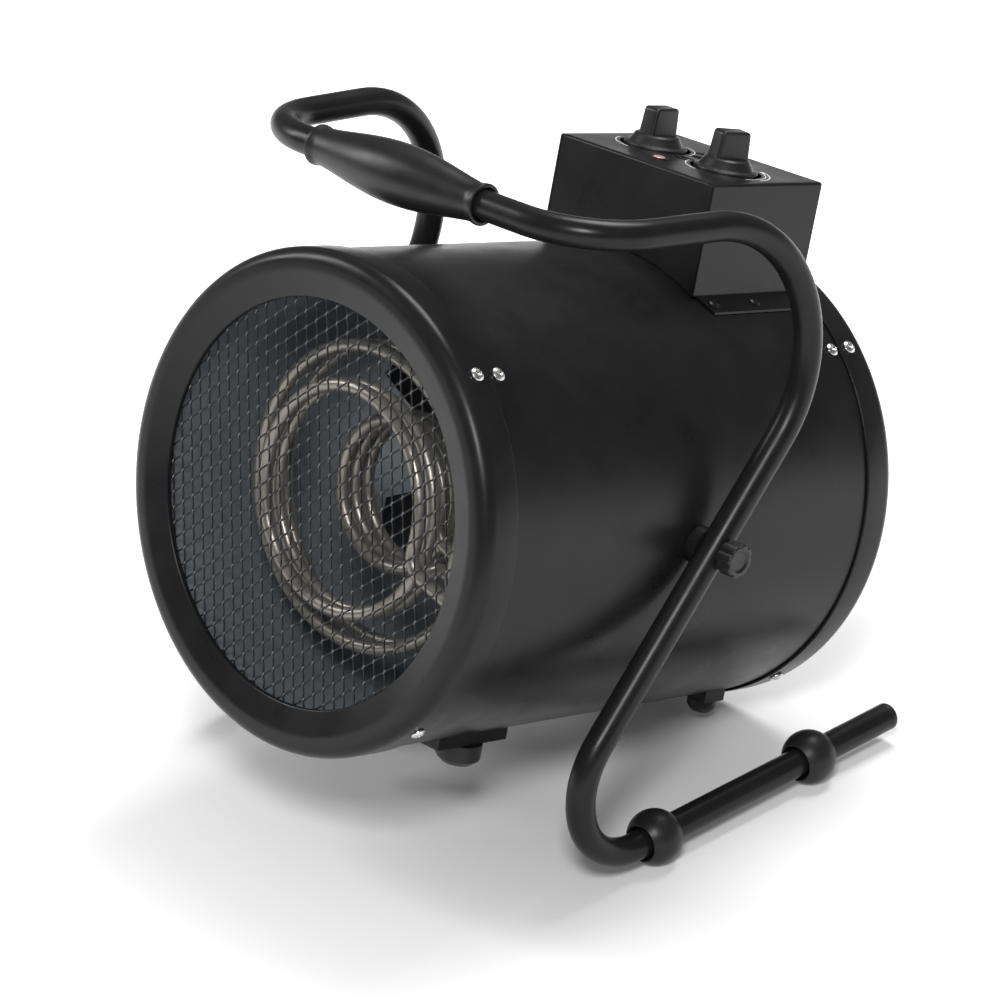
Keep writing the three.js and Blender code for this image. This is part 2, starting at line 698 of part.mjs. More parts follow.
// Fan: motor, shaft and a five-bladed impeller that blows forwards over the elements
const bladeOutline = new THREE.Shape([
  new THREE.Vector2(fanHubRadius - 4, -bladeWidth * 0.22),
  new THREE.Vector2(fanRadius * 0.96, -bladeWidth / 2),
  new THREE.Vector2(fanRadius * 0.97, 0),
  new THREE.Vector2(fanRadius * 0.92, bladeWidth * 0.42),
  new THREE.Vector2(fanHubRadius - 4, bladeWidth * 0.22),
]);
const blade = new THREE.ExtrudeGeometry(bladeOutline, { depth: bladeSheet, bevelEnabled: false });
blade.translate(0, 0, -bladeSheet / 2).rotateX(radians(bladePitch + 90));
const hub = turned([
  [0, -fanHubLength / 2], [fanHubRadius - 3, -fanHubLength / 2], [fanHubRadius, 3 - fanHubLength / 2],
  [fanHubRadius, fanHubLength / 2], [0, fanHubLength / 2],
], 20);
const blades = Array.from({ length: fanBlades }, (_, k) =>
  blade.clone().rotateY(2 * Math.PI * k / fanBlades));
const hubBore = hole(shaftRadius, 4 - fanHubLength / 2, fanHubLength, 'y');
const impeller = piece('fan_impeller', cut(join(hub, ...blades), hubBore), 'blackPlastic');
impeller.position.y = fanPlace;
drum.add(impeller);
const shaftFront = fanPlace + 4 - fanHubLength / 2 + fitGap;
const shaftRear = motorFront + motorLength / 2;
drum.add(piece('motor_shaft', bar(shaftRadius, shaftFront, shaftRear, 'y', 12), 'zinc'));
const motorBack = motorFront + motorLength;
const motor = turned([
  [0, motorFront - 5], [motorBoss, motorFront - 5], [motorBoss, motorFront], [motorRadius - 6, motorFront],
  [motorRadius, motorFront + 6], [motorRadius, motorBack - 4], [motorRadius - 4, motorBack], [0, motorBack],
], 20);
drum.add(piece('fan_motor', cut(motor, hole(shaftRadius, 0, shaftRear + 1, 'y')), 'galvanised'));
const mountFront = motorBack + fitGap;
const armReach = casingInner - fitGap - mountArm ** 2 / (8 * casingInner)
  - drumRadius * flatsLoss;
const mountArmPieces = Array.from({ length: mountArms }, (_, k) => {
  const arm = block([-mountArm / 2, mountFront, 0], [mountArm / 2, mountFront + mountSheet, armReach]);
  const tabRear = mountFront + mountTab;
  const tab = block([-mountArm / 2, mountFront, armReach - mountSheet], [mountArm / 2, tabRear, armReach]);
  return join(arm, tab).rotateY(2 * Math.PI * k / mountArms + Math.PI);
});
const mountDisc = bar(motorRadius, mountFront, mountFront + mountSheet, 'y', 24);
drum.add(piece('motor_mount', join(mountDisc, ...mountArmPieces), 'galvanised'));

// Control box: a folded shell with a flange down each side, closed by a front and a rear plate
const boxTop = drumRadius + boxRise;
const underDrum = drumTube(0, drumRadius + fitGap, boxFront - boxLength, boxRear + boxLength);
const holeAt = (radius, x, place) =>
  bar(radius, boxTop - plateDrop - boxSheet - 1, boxTop + 1, 'z', 20).translate(x, place, 0);
const knobLine = boxFront + knobPlace;
const lampLine = boxFront + lampPlace;
const outerBox = block([-boxHalf, boxFront, 0], [boxHalf, boxRear, boxTop]);
const innerBox = block(
  [-boxHalf + boxSheet, boxFront - 1, -1],
  [boxHalf - boxSheet, boxRear + 1, boxTop - boxSheet],
);
const flangeLow = drumRadius + fitGap;
const flangeRing = drumTube(flangeLow, flangeLow + boxSheet, boxFront + flangeFront, boxRear);
const flanges = [-1, 1].map((sign) => common(flangeRing, block(
  [Math.min(sign * (boxHalf - boxSheet / 2), sign * (boxHalf + flangeWidth)), boxFront - 1, 0],
  [Math.max(sign * (boxHalf - boxSheet / 2), sign * (boxHalf + flangeWidth)), boxRear + 1, drumRadius + 5],
)));
const shell = cut(
  outerBox, innerBox, underDrum,
  holeAt(knobHoleRadius, knobX, knobLine), holeAt(knobHoleRadius, -knobX, knobLine),
  holeAt(lampRadius + fitGap, 0, lampLine),
);
drum.add(piece('control_box', join(shell, ...flanges), 'blackSteel'));
const boxInside = boxHalf - boxSheet - fitGap;
const endPlate = (from, ...holes) => cut(block(
  [-boxInside, from, 0], [boxInside, from + boxSheet, boxTop - boxSheet - fitGap]), underDrum, ...holes);
drum.add(piece('box_front', endPlate(boxFront), 'blackSteel'));
const glandZ = boxTop - glandDrop;
const glandHole = hole(glandRadius, boxRear - 5, boxRear + 1, 'y').translate(glandX, 0, glandZ);
drum.add(piece('box_rear', endPlate(boxRear - boxSheet, glandHole), 'blackSteel'));

// Cable gland in the rear plate, for the mains lead
const gland = turned([
  [glandBore, -8], [glandRadius + 4, -8], [glandRadius + 4, -boxSheet - fitGap],
  [glandRadius, -boxSheet - fitGap], [glandRadius, fitGap], [glandRadius + 3, fitGap],
  [glandRadius + 3, 5], [glandRadius - 2, 12], [glandBore, 12],
], 12);
const glandMesh = piece('cable_gland', gland, 'blackPlastic');
glandMesh.position.set(glandX, boxRear, glandZ);
drum.add(glandMesh);

// Switch plate across the box, with the thermostat and the selector switch under it
const plateTop = boxTop - plateDrop;
const spindleHole = (x) =>
  hole(spindleRadius, plateTop - 2 * switchDepth, plateTop + 1, 'z').translate(x, knobLine, 0);
const lampWell = holeAt(lampRadius + 1, 0, lampLine);
const switchPlate = cut(block(
  [-boxInside, boxFront + boxSheet + fitGap, plateTop - boxSheet],
  [boxInside, boxRear - boxLength / 4, plateTop],
), spindleHole(knobX), spindleHole(-knobX), lampWell);
drum.add(piece('switch_plate', switchPlate, 'galvanised'));
const switchTop = plateTop - boxSheet - fitGap;
const spindleLow = switchTop - switchDepth / 2;
const switches = {
  thermostat_body: [1, 15, 19, 'galvanised'],
  selector_switch: [-1, 17, 15, 'blackPlastic'],
};
for (const [name, [sign, halfX, halfY, material]] of Object.entries(switches)) {
  const x = sign * knobX;
  const body = block(
    [x - halfX, knobLine - halfY, switchTop - switchDepth],
    [x + halfX, knobLine + halfY, switchTop],
  );
  const spindleWell = hole(spindleRadius, spindleLow - fitGap, plateTop, 'z').translate(x, knobLine, 0);
  drum.add(piece(name, cut(body, spindleWell), material));
}

// Control knobs: a flared skirt in its hole in the box's top, with a tapered bar to grip
function knob() {
  const low = -skirtSink;
  const skirt = turned([
    [0, low], [skirtRadius, low], [skirtRadius, low + 2.5],
    [skirtRadius - 5, low + skirtHeight], [0, low + skirtHeight],
  ], 20).rotateX(Math.PI / 2);
  const side = new THREE.Shape();
  const half = knobBarLength / 2;
  side.moveTo(-half, 1);
  side.lineTo(half, 1);
  side.lineTo(half * 0.82, knobHeight - 5);
  side.quadraticCurveTo(half * 0.75, knobHeight, half * 0.3, knobHeight);
  side.lineTo(-half * 0.3, knobHeight);
  side.quadraticCurveTo(-half * 0.75, knobHeight, -half * 0.82, knobHeight - 5);
  side.closePath();
  const grasp = new THREE.ExtrudeGeometry(side, {
    depth: knobBarWidth - 3, bevelThickness: 1.5, bevelSize: 1.2, bevelOffset: -1.2, bevelSegments: 1,
    curveSegments: 4,
  }).translate(0, 0, (3 - knobBarWidth) / 2).rotateX(Math.PI / 2).rotateZ(Math.PI / 2);
  const bore = hole(spindleRadius, low - 1, knobHeight / 2, 'z');
  return cut(join(skirt, grasp), bore);
}

for (const [name, x] of [['thermostat', knobX], ['selector', -knobX]]) {
  const mesh = piece(`${name}_knob`, knob(), 'blackPlastic');
  mesh.position.set(x, knobLine, boxTop);
  const rod = bar(spindleRadius, spindleLow, boxTop + knobHeight / 2 - 1, 'z', 12);
  const spindle = piece(`${name}_spindle`, rod, 'zinc');
  spindle.position.set(x, knobLine, 0);
  drum.add(mesh, spindle);
}

// Pilot lamp, mains terminal block and overheat cutout
const lamp = turned([
  [0, -14], [lampRadius, -14], [lampRadius, fitGap], [lampRadius + 1, fitGap], [lampRadius + 1, 1],
  [lampRadius - 1, 2], [0, 2.4],
], 12).rotateX(Math.PI / 2);
const lampMesh = piece('pilot_lamp', lamp, 'lens');
lampMesh.position.set(0, lampLine, boxTop);
drum.add(lampMesh);
const blockBase = drumRadius + fitGap;
const terminals = block([-22, boxRear - 32, blockBase], [22, boxRear - 16, blockBase + 13]);
drum.add(piece('terminal_block', terminals, 'ceramic'));
const cutoutHeight = cutoutShare * linerGap;
const cutout = turned([
  [0, 0], [8, 0], [8, cutoutHeight * 2 / 3], [5, cutoutHeight * 2 / 3], [5, cutoutHeight], [0, cutoutHeight],
], 16).rotateX(Math.PI / 2);
const cutoutMesh = piece('thermal_cutout', cutout, 'ceramic');
cutoutMesh.position.set(0, fanPlace, linerRadius + fitGap);
drum.add(cutoutMesh);

// Feet under the drum: a steel pad on the casing's underside with a rubber foot on it
const footX = drumRadius * Math.sin(radians(footAngle));
const casingLow = drumRadius * Math.cos(radians(footAngle));
const drumFeet = [
  ['front', frontPadInset - casingHalf, frontPadHalf, frontFootRadius, frontFootRise],
  ['rear', casingHalf - rearPadInset, rearPadHalf, rearFootRadius, rearFootRise],
];
const padLow = -casingLow - padDepth;
for (const [end, place, half, radius, rise] of drumFeet) {
  for (const [side, sign] of [['near', 1], ['far', -1]]) {
    const slab = block(
      [sign * footX - padWidth / 2, place - half, padLow],
      [sign * footX + padWidth / 2, place + half, 0],
    );
    const clear = drumTube(0, drumRadius + fitGap, -2 * casingHalf, 2 * casingHalf);
    drum.add(piece(`${end}_foot_bracket_${side}`, cut(slab, clear), 'blackSteel'));
    const foot = turned([
      [0, -rise], [footTaper * radius, -rise], [radius, footChamfer - rise], [radius, 0], [0, 0],
    ], 16).rotateX(Math.PI / 2).translate(sign * footX, place, padLow - fitGap);
    drum.add(piece(`${end}_drum_foot_${side}`, cut(foot, clear), 'rubber'));
  }
}

export default heater;
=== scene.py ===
import bmesh
import bpy
import numpy as np
from mathutils import Matrix


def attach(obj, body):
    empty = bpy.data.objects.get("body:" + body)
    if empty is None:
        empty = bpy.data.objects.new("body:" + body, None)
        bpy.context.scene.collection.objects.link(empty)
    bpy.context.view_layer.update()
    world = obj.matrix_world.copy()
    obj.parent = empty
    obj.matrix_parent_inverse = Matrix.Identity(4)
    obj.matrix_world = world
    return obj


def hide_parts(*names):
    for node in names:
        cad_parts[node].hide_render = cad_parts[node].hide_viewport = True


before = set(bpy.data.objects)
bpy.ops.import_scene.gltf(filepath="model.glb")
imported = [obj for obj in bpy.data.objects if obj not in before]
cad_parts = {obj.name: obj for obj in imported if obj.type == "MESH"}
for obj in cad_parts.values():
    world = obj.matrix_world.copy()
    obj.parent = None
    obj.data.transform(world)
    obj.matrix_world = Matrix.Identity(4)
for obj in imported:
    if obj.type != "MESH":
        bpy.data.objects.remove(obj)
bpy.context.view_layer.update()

# Camera: it stands to the front right of the heater and a little above it, about 2.4 m
# away behind a long lens. Its numbers fit the drum's circles and the edges of the tube.
azimuth, elevation, roll = np.radians([44.81, 25.27, 0.66])
back = np.array([np.sin(azimuth) * np.cos(elevation), -np.cos(azimuth) * np.cos(elevation), np.sin(elevation)])
level = np.array([np.cos(azimuth), np.sin(azimuth), 0])
upright = np.cross(back, level)
turn = np.eye(4)
turn[:3, 0] = np.cos(roll) * level + np.sin(roll) * upright
turn[:3, 1] = np.cos(roll) * upright - np.sin(roll) * level
turn[:3, 2] = back
turn[:3, 3] = [1.46418, -1.48926, 1.16339]
lens = bpy.data.cameras.new("camera")
lens.sensor_width = 36
lens.lens = 132.55
camera = bpy.data.objects.new("camera", lens)
camera.matrix_world = Matrix(turn)
bpy.context.scene.collection.objects.link(camera)
bpy.context.scene.camera = camera
bpy.context.scene.view_settings.view_transform = "Standard"


# Studio: a pale paper floor under three soft lamps, in a dim white room. The paper glows a
# little for the camera, more with distance, so that it stays white past the lamps' reach.
def add(tree, kind, inputs=(), **settings):
    """A node with its settings and the values of its inputs."""
    node = tree.nodes.new("ShaderNode" + kind)
    for key, value in settings.items():
        setattr(node, key, value)
    for key, value in dict(inputs).items():
        node.inputs[key].default_value = value
    return node


def lamp(name, place, target, size, power):
    """A square soft lamp whose -Z axis runs from its place to its target."""
    light = bpy.data.lights.new(name, "AREA")
    light.shape = "RECTANGLE"
    light.size, light.size_y = size
    light.energy = power
    holder = bpy.data.objects.new(name, light)
    away = np.subtract(place, target) / np.linalg.norm(np.subtract(place, target))
    side = np.cross([0, 0, 1], away)
    side /= np.linalg.norm(side)
    frame_of_lamp = np.eye(4)
    frame_of_lamp[:3, :4] = np.array([side, np.cross(away, side), away, place]).T
    holder.matrix_world = Matrix(frame_of_lamp)
    bpy.context.scene.collection.objects.link(holder)


lamp("key_lamp", [1.5, -1.7, 2.1], [0, 0, 0.2], [0.6, 0.6], 50)
lamp("left_lamp", [-1.7, -1.0, 1.4], [0, 0, 0.2], [0.35, 1.1], 22)
lamp("top_lamp", [-0.2, 0.9, 2.2], [0, 0, 0.2], [1.0, 1.0], 36)

room = bpy.data.worlds.new("room")
bpy.context.scene.world = room
room.use_nodes = True
room.node_tree.nodes["Background"].inputs["Color"].default_value = (1, 1, 1, 1)
room.node_tree.nodes["Background"].inputs["Strength"].default_value = 0.16

paper = bpy.data.materials.new("floor_paper")
paper.use_nodes = True
sheet_shader = paper.node_tree.nodes["Principled BSDF"]
sheet_shader.inputs["Base Color"].default_value = (0.88, 0.88, 0.88, 1)
sheet_shader.inputs["Roughness"].default_value = 0.7
sheet_shader.inputs["Specular IOR Level"].default_value = 0.1
sheet_shader.inputs["Emission Color"].default_value = (1, 1, 1, 1)
seen = add(paper.node_tree, "LightPath")
mirrored = add(paper.node_tree, "Math", operation="ADD")
through = add(paper.node_tree, "Math", operation="ADD")
spot = add(paper.node_tree, "TexCoord")
far_off = add(paper.node_tree, "VectorMath", operation="LENGTH")
white = add(paper.node_tree, "MapRange", {"From Min": 0.12, "From Max": 1.0, "To Min": 0.04, "To Max": 1.0})
glow = add(paper.node_tree, "Math", operation="MULTIPLY")
for source, target in [
    (seen.outputs["Is Camera Ray"], mirrored.inputs[0]), (seen.outputs["Is Glossy Ray"], mirrored.inputs[1]),
    (mirrored.outputs[0], through.inputs[0]), (seen.outputs["Is Transmission Ray"], through.inputs[1]),
    (spot.outputs["Object"], far_off.inputs[0]), (far_off.outputs["Value"], white.inputs["Value"]),
    (through.outputs[0], glow.inputs[0]), (white.outputs["Result"], glow.inputs[1]),
    (glow.outputs[0], sheet_shader.inputs["Emission Strength"]),
]:
    paper.node_tree.links.new(source, target)

floor_mesh = bpy.data.meshes.new("floor")
floor_mesh.from_pydata([(-60, -60, 0), (60, -60, 0), (60, 60, 0), (-60, 60, 0)], [], [(0, 1, 2, 3)])
floor_mesh.materials.append(paper)
floor = bpy.data.objects.new("floor", floor_mesh)
bpy.context.scene.collection.objects.link(floor)


# Stand: one bent steel tube with a satin black powder coat. It runs from one floor bar up
# the leg, round the elbow, along the arm, across as the handle, and back down.
def grid(rows, columns, first=0, around=True, along=False):
    """Quads of a grid whose point (i, j) has number first + i * columns + j. Each joins two
    points of a row to the two beyond them; around and along close the rows and the columns."""
    i = np.arange(rows if along else rows - 1)[:, None]
    j = np.arange(columns if around else columns - 1)[None, :]
    far_i, far_j = (i + 1) % rows, (j + 1) % columns
    corners = [i * columns + j, i * columns + far_j, far_i * columns + far_j, far_i * columns + j]
    return first + np.stack(np.broadcast_arrays(*corners), -1).reshape(-1, 4)


def rounded(corners, radii, steps=5, closed=True):
    """A line with arcs for corners. With unit vectors a and b from a corner to its two
    neighbours and h half the angle between them, the arc's centre lies r / sin h from the
    corner along a + b, and the arc turns through pi - 2h between its feet r / tan h away."""
    p = np.asarray(corners, float)
    r = np.broadcast_to(np.asarray(radii, float), len(p))[:, None]
    a, b = np.roll(p, 1, 0) - p, np.roll(p, -1, 0) - p
    a /= np.linalg.norm(a, axis=1)[:, None]
    b /= np.linalg.norm(b, axis=1)[:, None]
    h = np.arccos(np.clip((a * b).sum(1), -1, 1))[:, None] / 2
    h = np.minimum(h, np.pi / 2 - 1e-6)
    middle = (a + b) / np.linalg.norm(a + b, axis=1)[:, None]
    centre = p + middle * r / np.sin(h)
    first, last = p + a * r / np.tan(h) - centre, p + b * r / np.tan(h) - centre
    total = (np.pi - 2 * h)[:, None]
    t = np.linspace(0, 1, steps + 1)[None, :, None]
    arcs = first[:, None] * np.sin((1 - t) * total) + last[:, None] * np.sin(t * total)
    arcs = centre[:, None] + arcs / np.sin(total)
    if closed:
        return arcs.reshape(-1, p.shape[1])
    return np.concatenate([p[:1], arcs[1:-1].reshape(-1, p.shape[1]), p[-1:]])


def circle(radius, sides):
    """Points at angles 2 pi k / sides on a circle."""
    angle = 2 * np.pi * np.arange(sides) / sides
    return radius * np.stack([np.cos(angle), np.sin(angle)], -1)


def swept(path, outline, start=(0, 0, 1)):
    """An outline carried along a path: ring i is path point i plus the outline's coordinates
    times two directions square to the path, each the last one made square to the new run."""
    path = np.asarray(path, float)
    run = np.gradient(path, axis=0)
    run /= np.linalg.norm(run, axis=1)[:, None]
    side = np.array(start, float)
    sides = []
    for tangent in run:
        side = side - side.dot(tangent) * tangent
        side /= np.linalg.norm(side)
        sides.append(side)
    sides = np.array(sides)
    other = np.cross(run, sides)
    outline = np.broadcast_to(outline, (len(path),) + np.shape(outline)[-2:])
    rings = path[:, None] + outline[..., :1] * sides[:, None] + outline[..., 1:] * other[:, None]
    return rings.reshape(-1, 3), grid(len(path), outline.shape[1])


def turned(outline, sides=96, closed=False):
    """A form of revolution about Z: the outline's (radius, height) at angle a is the point
    (radius cos a, radius sin a, height)."""
    outline = np.asarray(outline, float)
    spin = circle(1, sides)
    flat = outline[:, None, :1] * spin[None]
    tall = np.broadcast_to(outline[:, None, 1:], flat.shape[:2] + (1,))
    return np.concatenate([flat, tall], -1).reshape(-1, 3), grid(len(outline), sides, along=closed)


def capped(patch, sides):
    """The patch with its first and last ring of points each closed by a fan round its middle."""
    points, faces = patch
    n = len(points)
    ring = np.arange(sides)
    ends = np.array([points[:sides].mean(0), points[-sides:].mean(0)])
    front = np.stack([ring, (ring + 1) % sides, np.full(sides, n), np.full(sides, n)], -1)
    rear = np.stack([n - sides + ring, n - sides + (ring + 1) % sides, np.full(sides, n + 1), np.full(sides, n + 1)], -1)
    return np.concatenate([points, ends]), np.concatenate([faces, front, rear])


def joined(*patches):
    """Patches of points and faces as one, with the faces' numbers moved on."""
    starts = np.cumsum([0] + [len(points) for points, faces in patches[:-1]])
    return (np.concatenate([points for points, faces in patches]),
            np.concatenate([faces + start for (points, faces), start in zip(patches, starts)]))


def made(name, patch, body, finish, slot, *nodes, crease=32, outward=True):
    """A piece from points in millimetres: welded where points meet, its faces turned outwards,
    shaded smooth up to the crease angle, riding on its body and standing for its CAD nodes."""
    points, faces = patch
    mesh = bpy.data.meshes.new(name)
    mesh.from_pydata((np.asarray(points) / 1000).tolist(), [], [list(dict.fromkeys(f)) for f in np.asarray(faces).tolist()])
    work = bmesh.new()
    work.from_mesh(mesh)
    bmesh.ops.remove_doubles(work, verts=work.verts, dist=2e-7)
    bmesh.ops.dissolve_degenerate(work, edges=work.edges, dist=1e-7)
    if outward:
        bmesh.ops.recalc_face_normals(work, faces=work.faces)
    work.to_mesh(mesh)
    work.free()
    mesh.shade_smooth()
    mesh.set_sharp_from_angle(angle=np.radians(crease))
    mesh.materials.append(finish)
    thing = bpy.data.objects.new(name, mesh)
    bpy.context.scene.collection.objects.link(thing)
    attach(thing, body)
    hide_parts(*nodes)
    return thing


grain = bpy.data.node_groups.new("surface_grain", "ShaderNodeTree")
for label, value in [("Grain Scale", 900.0), ("Grain Depth", 0.00002), ("Patch Scale", 30.0)]:
    grain.interface.new_socket(label, in_out="INPUT", socket_type="NodeSocketFloat").default_value = value
grain.interface.new_socket("Normal", in_out="OUTPUT", socket_type="NodeSocketVector")
grain.interface.new_socket("Patch", in_out="OUTPUT", socket_type="NodeSocketFloat")
given, result = grain.nodes.new("NodeGroupInput"), grain.nodes.new("NodeGroupOutput")
where = add(grain, "TexCoord")
fine = add(grain, "TexNoise", {"Detail": 3.0, "Roughness": 0.55})
broad = add(grain, "TexNoise", {"Detail": 4.0, "Roughness": 0.6})
relief = add(grain, "Bump", {"Strength": 1.0})
for source, target in [
    (where.outputs["Object"], fine.inputs["Vector"]), (where.outputs["Object"], broad.inputs["Vector"]),
    (given.outputs["Grain Scale"], fine.inputs["Scale"]), (given.outputs["Patch Scale"], broad.inputs["Scale"]),
    (fine.outputs["Fac"], relief.inputs["Height"]), (given.outputs["Grain Depth"], relief.inputs["Distance"]),
    (relief.outputs["Normal"], result.inputs["Normal"]), (broad.outputs["Fac"], result.inputs["Patch"]),
]:
    grain.links.new(source, target)


def coated(name, dark, light, rough, grain_scale, grain_depth, patch_scale, metallic=0.0, **sockets):
    """A finish whose colour and roughness drift between two values in soft patches, with a
    fine grain in its surface."""
    material = bpy.data.materials.new(name)
    material.use_nodes = True
    tree = material.node_tree
    shader = tree.nodes["Principled BSDF"]
    shader.inputs["Metallic"].default_value = metallic
    for key, value in sockets.items():
        shader.inputs[key.replace("_", " ")].default_value = value
    texture = add(tree, "Group", node_tree=grain)
    texture.inputs["Grain Scale"].default_value = grain_scale
    texture.inputs["Grain Depth"].default_value = grain_depth
    texture.inputs["Patch Scale"].default_value = patch_scale
    tint = add(tree, "Mix", {"A": (*dark, 1), "B": (*light, 1)}, data_type="RGBA")
    gloss = add(tree, "MapRange", {"From Min": 0.3, "From Max": 0.7, "To Min": rough[0], "To Max": rough[1]})
    tree.links.new(texture.outputs["Patch"], tint.inputs["Factor"])
    tree.links.new(texture.outputs["Patch"], gloss.inputs["Value"])
    tree.links.new(tint.outputs["Result"], shader.inputs["Base Color"])
    tree.links.new(gloss.outputs["Result"], shader.inputs["Roughness"])
    tree.links.new(texture.outputs["Normal"], shader.inputs["Normal"])
    return material


black_coat = coated("black_powder_coat", (0.008, 0.008, 0.009), (0.014, 0.014, 0.015), (0.26, 0.36),
                    850, 0.00001, 35, Specular_IOR_Level=0.2)
tube_radius, bar_height, leg_x, leg_lean = 9, 16.8, 162.3, 3.2
foot_x = leg_x - leg_lean
bar_rear = 180
elbow = [leg_x + leg_lean, 173.96, 377.19]
handle_reach, handle_height, handle_half = 90.4, 414.49, 140.2
half_line = np.array([[foot_x, bar_rear, bar_height], [foot_x, -174, bar_height], elbow,
                      [handle_half, -handle_reach, handle_height]])
whole_line = np.concatenate([half_line, half_line[::-1] * [-1, 1, 1]])
stand_line = rounded(whole_line, [0, 50.5, 86, 53.7, 53.7, 86, 50.5, 0], 28, closed=False)
stand = capped(swept(stand_line, circle(tube_radius, 48)), 48)
made("stand_tube", stand, "frame", black_coat, "black_steel", "frame_tube")

# Hand grip: a moulded rubber spindle pushed on to the handle, a little towards the far
# side. It is fat in the middle, narrows, and flares at each end round a shallow bore.
grip_rubber = coated("grip_rubber", (0.008, 0.008, 0.009), (0.013, 0.013, 0.014), (0.32, 0.44),
                     1500, 0.00003, 60, Specular_IOR_Level=0.32)
grip_half, grip_middle = 70.5, -11
along = np.linspace(-1, 1, 73)
swell = np.cos(along * np.pi / 2) ** 1.3
grip_belly = np.stack([11.7 + 7.0 * swell, along * 64.5], -1)
flared_end = rounded([[9.15, -66], [10.4, -grip_half], [12.7, -grip_half], [12.6, -68.3], [11.7, -64.5]],
                     [0, 0.5, 0.8, 2.5, 0], 6, closed=False)
grip_outline = np.concatenate([flared_end[:-1], grip_belly, (flared_end[:-1] * [1, -1])[::-1], [[9.05, 0]]])
grip_points, grip_faces = turned(grip_outline, 96, closed=True)
ridge = np.abs(np.arctan2(grip_points[:, 0], grip_points[:, 1]))
from_axis = np.hypot(grip_points[:, 0], grip_points[:, 1])
grip_points[:, :2] *= 1 + (0.12 * np.exp(-(ridge / 0.05) ** 2) * (from_axis > 11.5) / from_axis)[:, None]
grip_points = grip_points[:, [2, 0, 1]] + [grip_middle, -handle_reach, handle_height]
made("handle_grip", (grip_points, grip_faces), "frame", grip_rubber, "rubber", "hand_grip")

# Foot balls: rubber balls threaded on the floor bars, two a side, worn to a small flat on
# the floor. A moulded plastic cap closes each bar.
ball_rubber = coated("ball_rubber", (0.010, 0.010, 0.011), (0.016, 0.016, 0.017), (0.36, 0.48),
                     1300, 0.00003, 70, Specular_IOR_Level=0.35)
bare_plastic = coated("moulded_plastic", (0.009, 0.009, 0.010), (0.014, 0.014, 0.015), (0.33, 0.44),
                      1800, 0.000015, 60, Specular_IOR_Level=0.4)
ball_radius, ball_half = 17.5, 13.5
sweep = np.linspace(-1, 1, 33) * np.arcsin(ball_half / ball_radius)
ball_outline = np.stack([ball_radius * np.cos(sweep), ball_radius * np.sin(sweep)], -1)
mouth = rounded([[9.15, -6], [10.6, -9], [11.5, -ball_half - 0.1], ball_outline[2]], [0, 1.5, 0.6, 0], 5, closed=False)
ball_outline = np.concatenate([mouth[:-1], ball_outline[2:-2], (mouth[:-1] * [1, -1])[::-1]])
ball_points, ball_faces = turned(ball_outline, 72, closed=True)
ball_points = ball_points[:, [0, 2, 1]]
ball_points[:, 2] = np.maximum(ball_points[:, 2], -bar_height)
cap_outline = [[0, -12], [7.0, -12], [7.0, 0.3], [9, 0.3], [9, 5], [0, 5]]
cap_points, cap_faces = turned(rounded(cap_outline, [0, 0.5, 0, 0.3, 2.0, 0], 6, closed=False), 48)
for side, sign in [("near", 1), ("far", -1)]:
    for end, station in [("front", -38), ("rear", 106)]:
        place = [sign * foot_x, station, bar_height]
        made(f"{end}_ball_{side}", (ball_points + place, ball_faces), "frame", ball_rubber, "rubber",
             f"{end}_foot_ball_{side}", crease=40)
    place = [sign * foot_x, bar_rear, bar_height]
    made(f"bar_cap_{side}", (cap_points[:, [0, 2, 1]] + place, cap_faces), "frame", bare_plastic,
         "black_plastic", f"tube_cap_{side}")

# Pivots: a steel saddle seats the leg against the drum, and a moulded knob with eight
# finger grooves clamps it there on a zinc-plated stud that screws into a nut in the drum.
zinc = coated("bright_zinc", (0.60, 0.60, 0.59), (0.78, 0.78, 0.76), (0.20, 0.34), 2600, 0.00001, 320, metallic=1.0)


def dress(finish, *names):
    """Gives CAD nodes that stay in view their finish."""
    for name in names:
        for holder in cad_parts[name].material_slots:
            holder.material = finish


pivot_y, pivot_z = 2.101, 199.192
knob_from = leg_x + tube_radius + 0.3
dress(black_coat, "pivot_saddle_near", "pivot_saddle_far")
dress(zinc, "clamp_stud_near", "clamp_stud_far", "pivot_nut_near", "pivot_nut_far")
depth = rounded([[0, 11.7], [5.6, 11.7], [7.2, 12.9], [10.5, 12.9], [10.5, 1.4], [7, 1.4], [7, 0], [4.3, 0]],
                [0, 0.8, 0.8, 1.4, 1.2, 0.8, 0.2, 0], 5, closed=False)
angle = 2 * np.pi * np.arange(128) / 128
groove = np.clip((depth[:, 0] - 7.4) / 3.1, 0, 1)[:, None] * (0.5 + 0.5 * np.cos(8 * angle)[None]) ** 3
reach = depth[:, :1] * (1 - 0.12 * groove)
knob_points = np.stack([np.broadcast_to(depth[:, 1:], reach.shape), reach * np.cos(angle), reach * np.sin(angle)], -1)
knob_points = knob_points.reshape(-1, 3) + [knob_from, 0, 0]
for side, sign in [("near", 1), ("far", -1)]:
    made(f"clamp_grip_{side}", (knob_points * [sign, 1, 1] + [0, pivot_y, pivot_z], grid(len(depth), 128)),
         f"{side}_clamp", bare_plastic, "black_plastic", f"clamp_knob_{side}", crease=50)

# Drum: a casing rolled from one steel sheet, and a like pressed rim slid over each end. All
# of it has the stand's black powder coat. A rim's face dishes in to a lip round the opening.
nose_up, axis_height = np.radians(13.5), 190.441


def in_drum(points):
    """Points (x, rearwards along the axis, up) of the level drum, turned nose up about X and
    lifted: y = s cos n + r sin n and z = axis height - s sin n + r cos n."""
    x, s, r = np.moveaxis(np.asarray(points, float), -1, 0)
    return np.stack([x, s * np.cos(nose_up) + r * np.sin(nose_up),
                     axis_height - s * np.sin(nose_up) + r * np.cos(nose_up)], -1)


